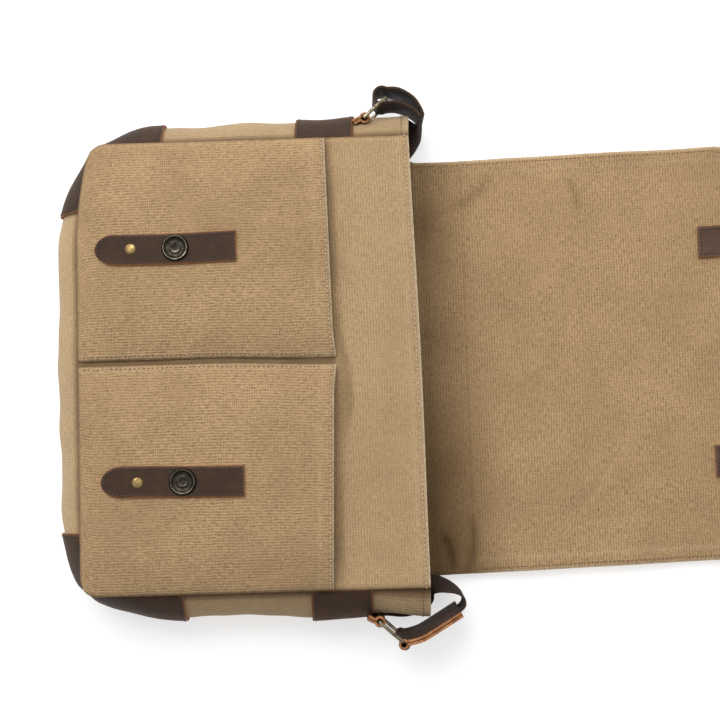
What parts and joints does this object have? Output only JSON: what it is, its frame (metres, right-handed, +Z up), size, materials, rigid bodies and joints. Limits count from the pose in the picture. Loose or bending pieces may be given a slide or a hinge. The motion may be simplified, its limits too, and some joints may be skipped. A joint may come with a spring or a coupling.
{
  "type": "messenger bag",
  "caption": "Canvas messenger bag with leather trim on its back, flap hinged open, front pockets with snap tabs and a webbing shoulder strap.",
  "frame": {"origin": "the middle of the flat part of the back panel's outer face, which the bag lies on", "axes": "+Z up from the surface the bag lies on, +X from the bag's bottom to its mouth and along the open flap, +Y to the bag's left"},
  "size_m": [0.5505, 0.4284, 0.0756],
  "materials": {
    "canvas": "stone-washed plain-weave cotton canvas",
    "gusset_canvas": "stone-washed plain-weave cotton canvas, a shade lighter",
    "lining": "plain cotton",
    "sleeve": "quilted pad",
    "leather": "oiled full-grain leather with raw edges",
    "webbing": "heavy cotton webbing",
    "brass": "antique brass",
    "snap_metal": "dark bronze plated"
  },
  "bodies": {
    "bag": {"back_panel": "canvas", "front_panel": "canvas", "front_pocket_left": "canvas", "front_pocket_right": "canvas", "side_gusset_left": "gusset_canvas", "side_gusset_right": "gusset_canvas", "bottom_gusset": "gusset_canvas", "lining_back": "lining", "lining_front": "lining", "lining_gusset": "lining", "laptop_sleeve": "sleeve", "corner_patch_left": "leather", "corner_patch_right": "leather", "pocket_tab_left": "leather", "pocket_tab_right": "leather", "side_patch_left": "leather", "side_patch_right": "leather", "ring_loop_left": "leather", "ring_loop_right": "leather", "strap_webbing_short": "webbing", "strap_webbing_long": "webbing", "rivet_left": "brass", "rivet_right": "brass", "rivet_burr_left": "brass", "rivet_burr_right": "brass", "strap_buckle": "brass", "snap_socket_left": "snap_metal", "snap_socket_right": "snap_metal", "snap_plate_left": "snap_metal", "snap_plate_right": "snap_metal"},
    "flap_spine": {"flap_spine": "canvas"},
    "flap_panel": {"flap_panel": "canvas", "flap_tab_left": "leather", "flap_tab_right": "leather", "flap_strap_left": "leather", "flap_strap_right": "leather", "snap_stud_left": "snap_metal", "snap_stud_right": "snap_metal"},
    "ring_left": {"d_ring_left": "brass", "strap_end_left": "leather"},
    "ring_right": {"d_ring_right": "brass", "strap_end_right": "leather"}
  },
  "joints": [
    {"name": "flap_back_edge", "type": "hinge", "parent": "bag", "child": "flap_spine", "pos_m": [0.1295, 0, 0.0082], "axis": [0, -1, 0], "range_deg": [0, 90]},
    {"name": "flap_front_edge", "type": "hinge", "parent": "flap_spine", "child": "flap_panel", "pos_m": [0.2019, 0, 0.0082], "axis": [0, -1, 0], "range_deg": [0, 90]},
    {"name": "ring_left_swing", "type": "hinge", "parent": "bag", "child": "ring_left", "pos_m": [0.091, 0.1935, 0.033], "axis": [0, 0, 1], "range_deg": [-5, 25], "deforming": ["strap_webbing_long"]},
    {"name": "ring_right_swing", "type": "hinge", "parent": "bag", "child": "ring_right", "pos_m": [0.091, -0.1935, 0.033], "axis": [0, 0, -1], "range_deg": [-5, 25], "deforming": ["strap_webbing_short"]}
  ],
  "couplings": [
    {"joint": "flap_front_edge", "follows": "flap_back_edge", "ratio": 1}
  ]
}
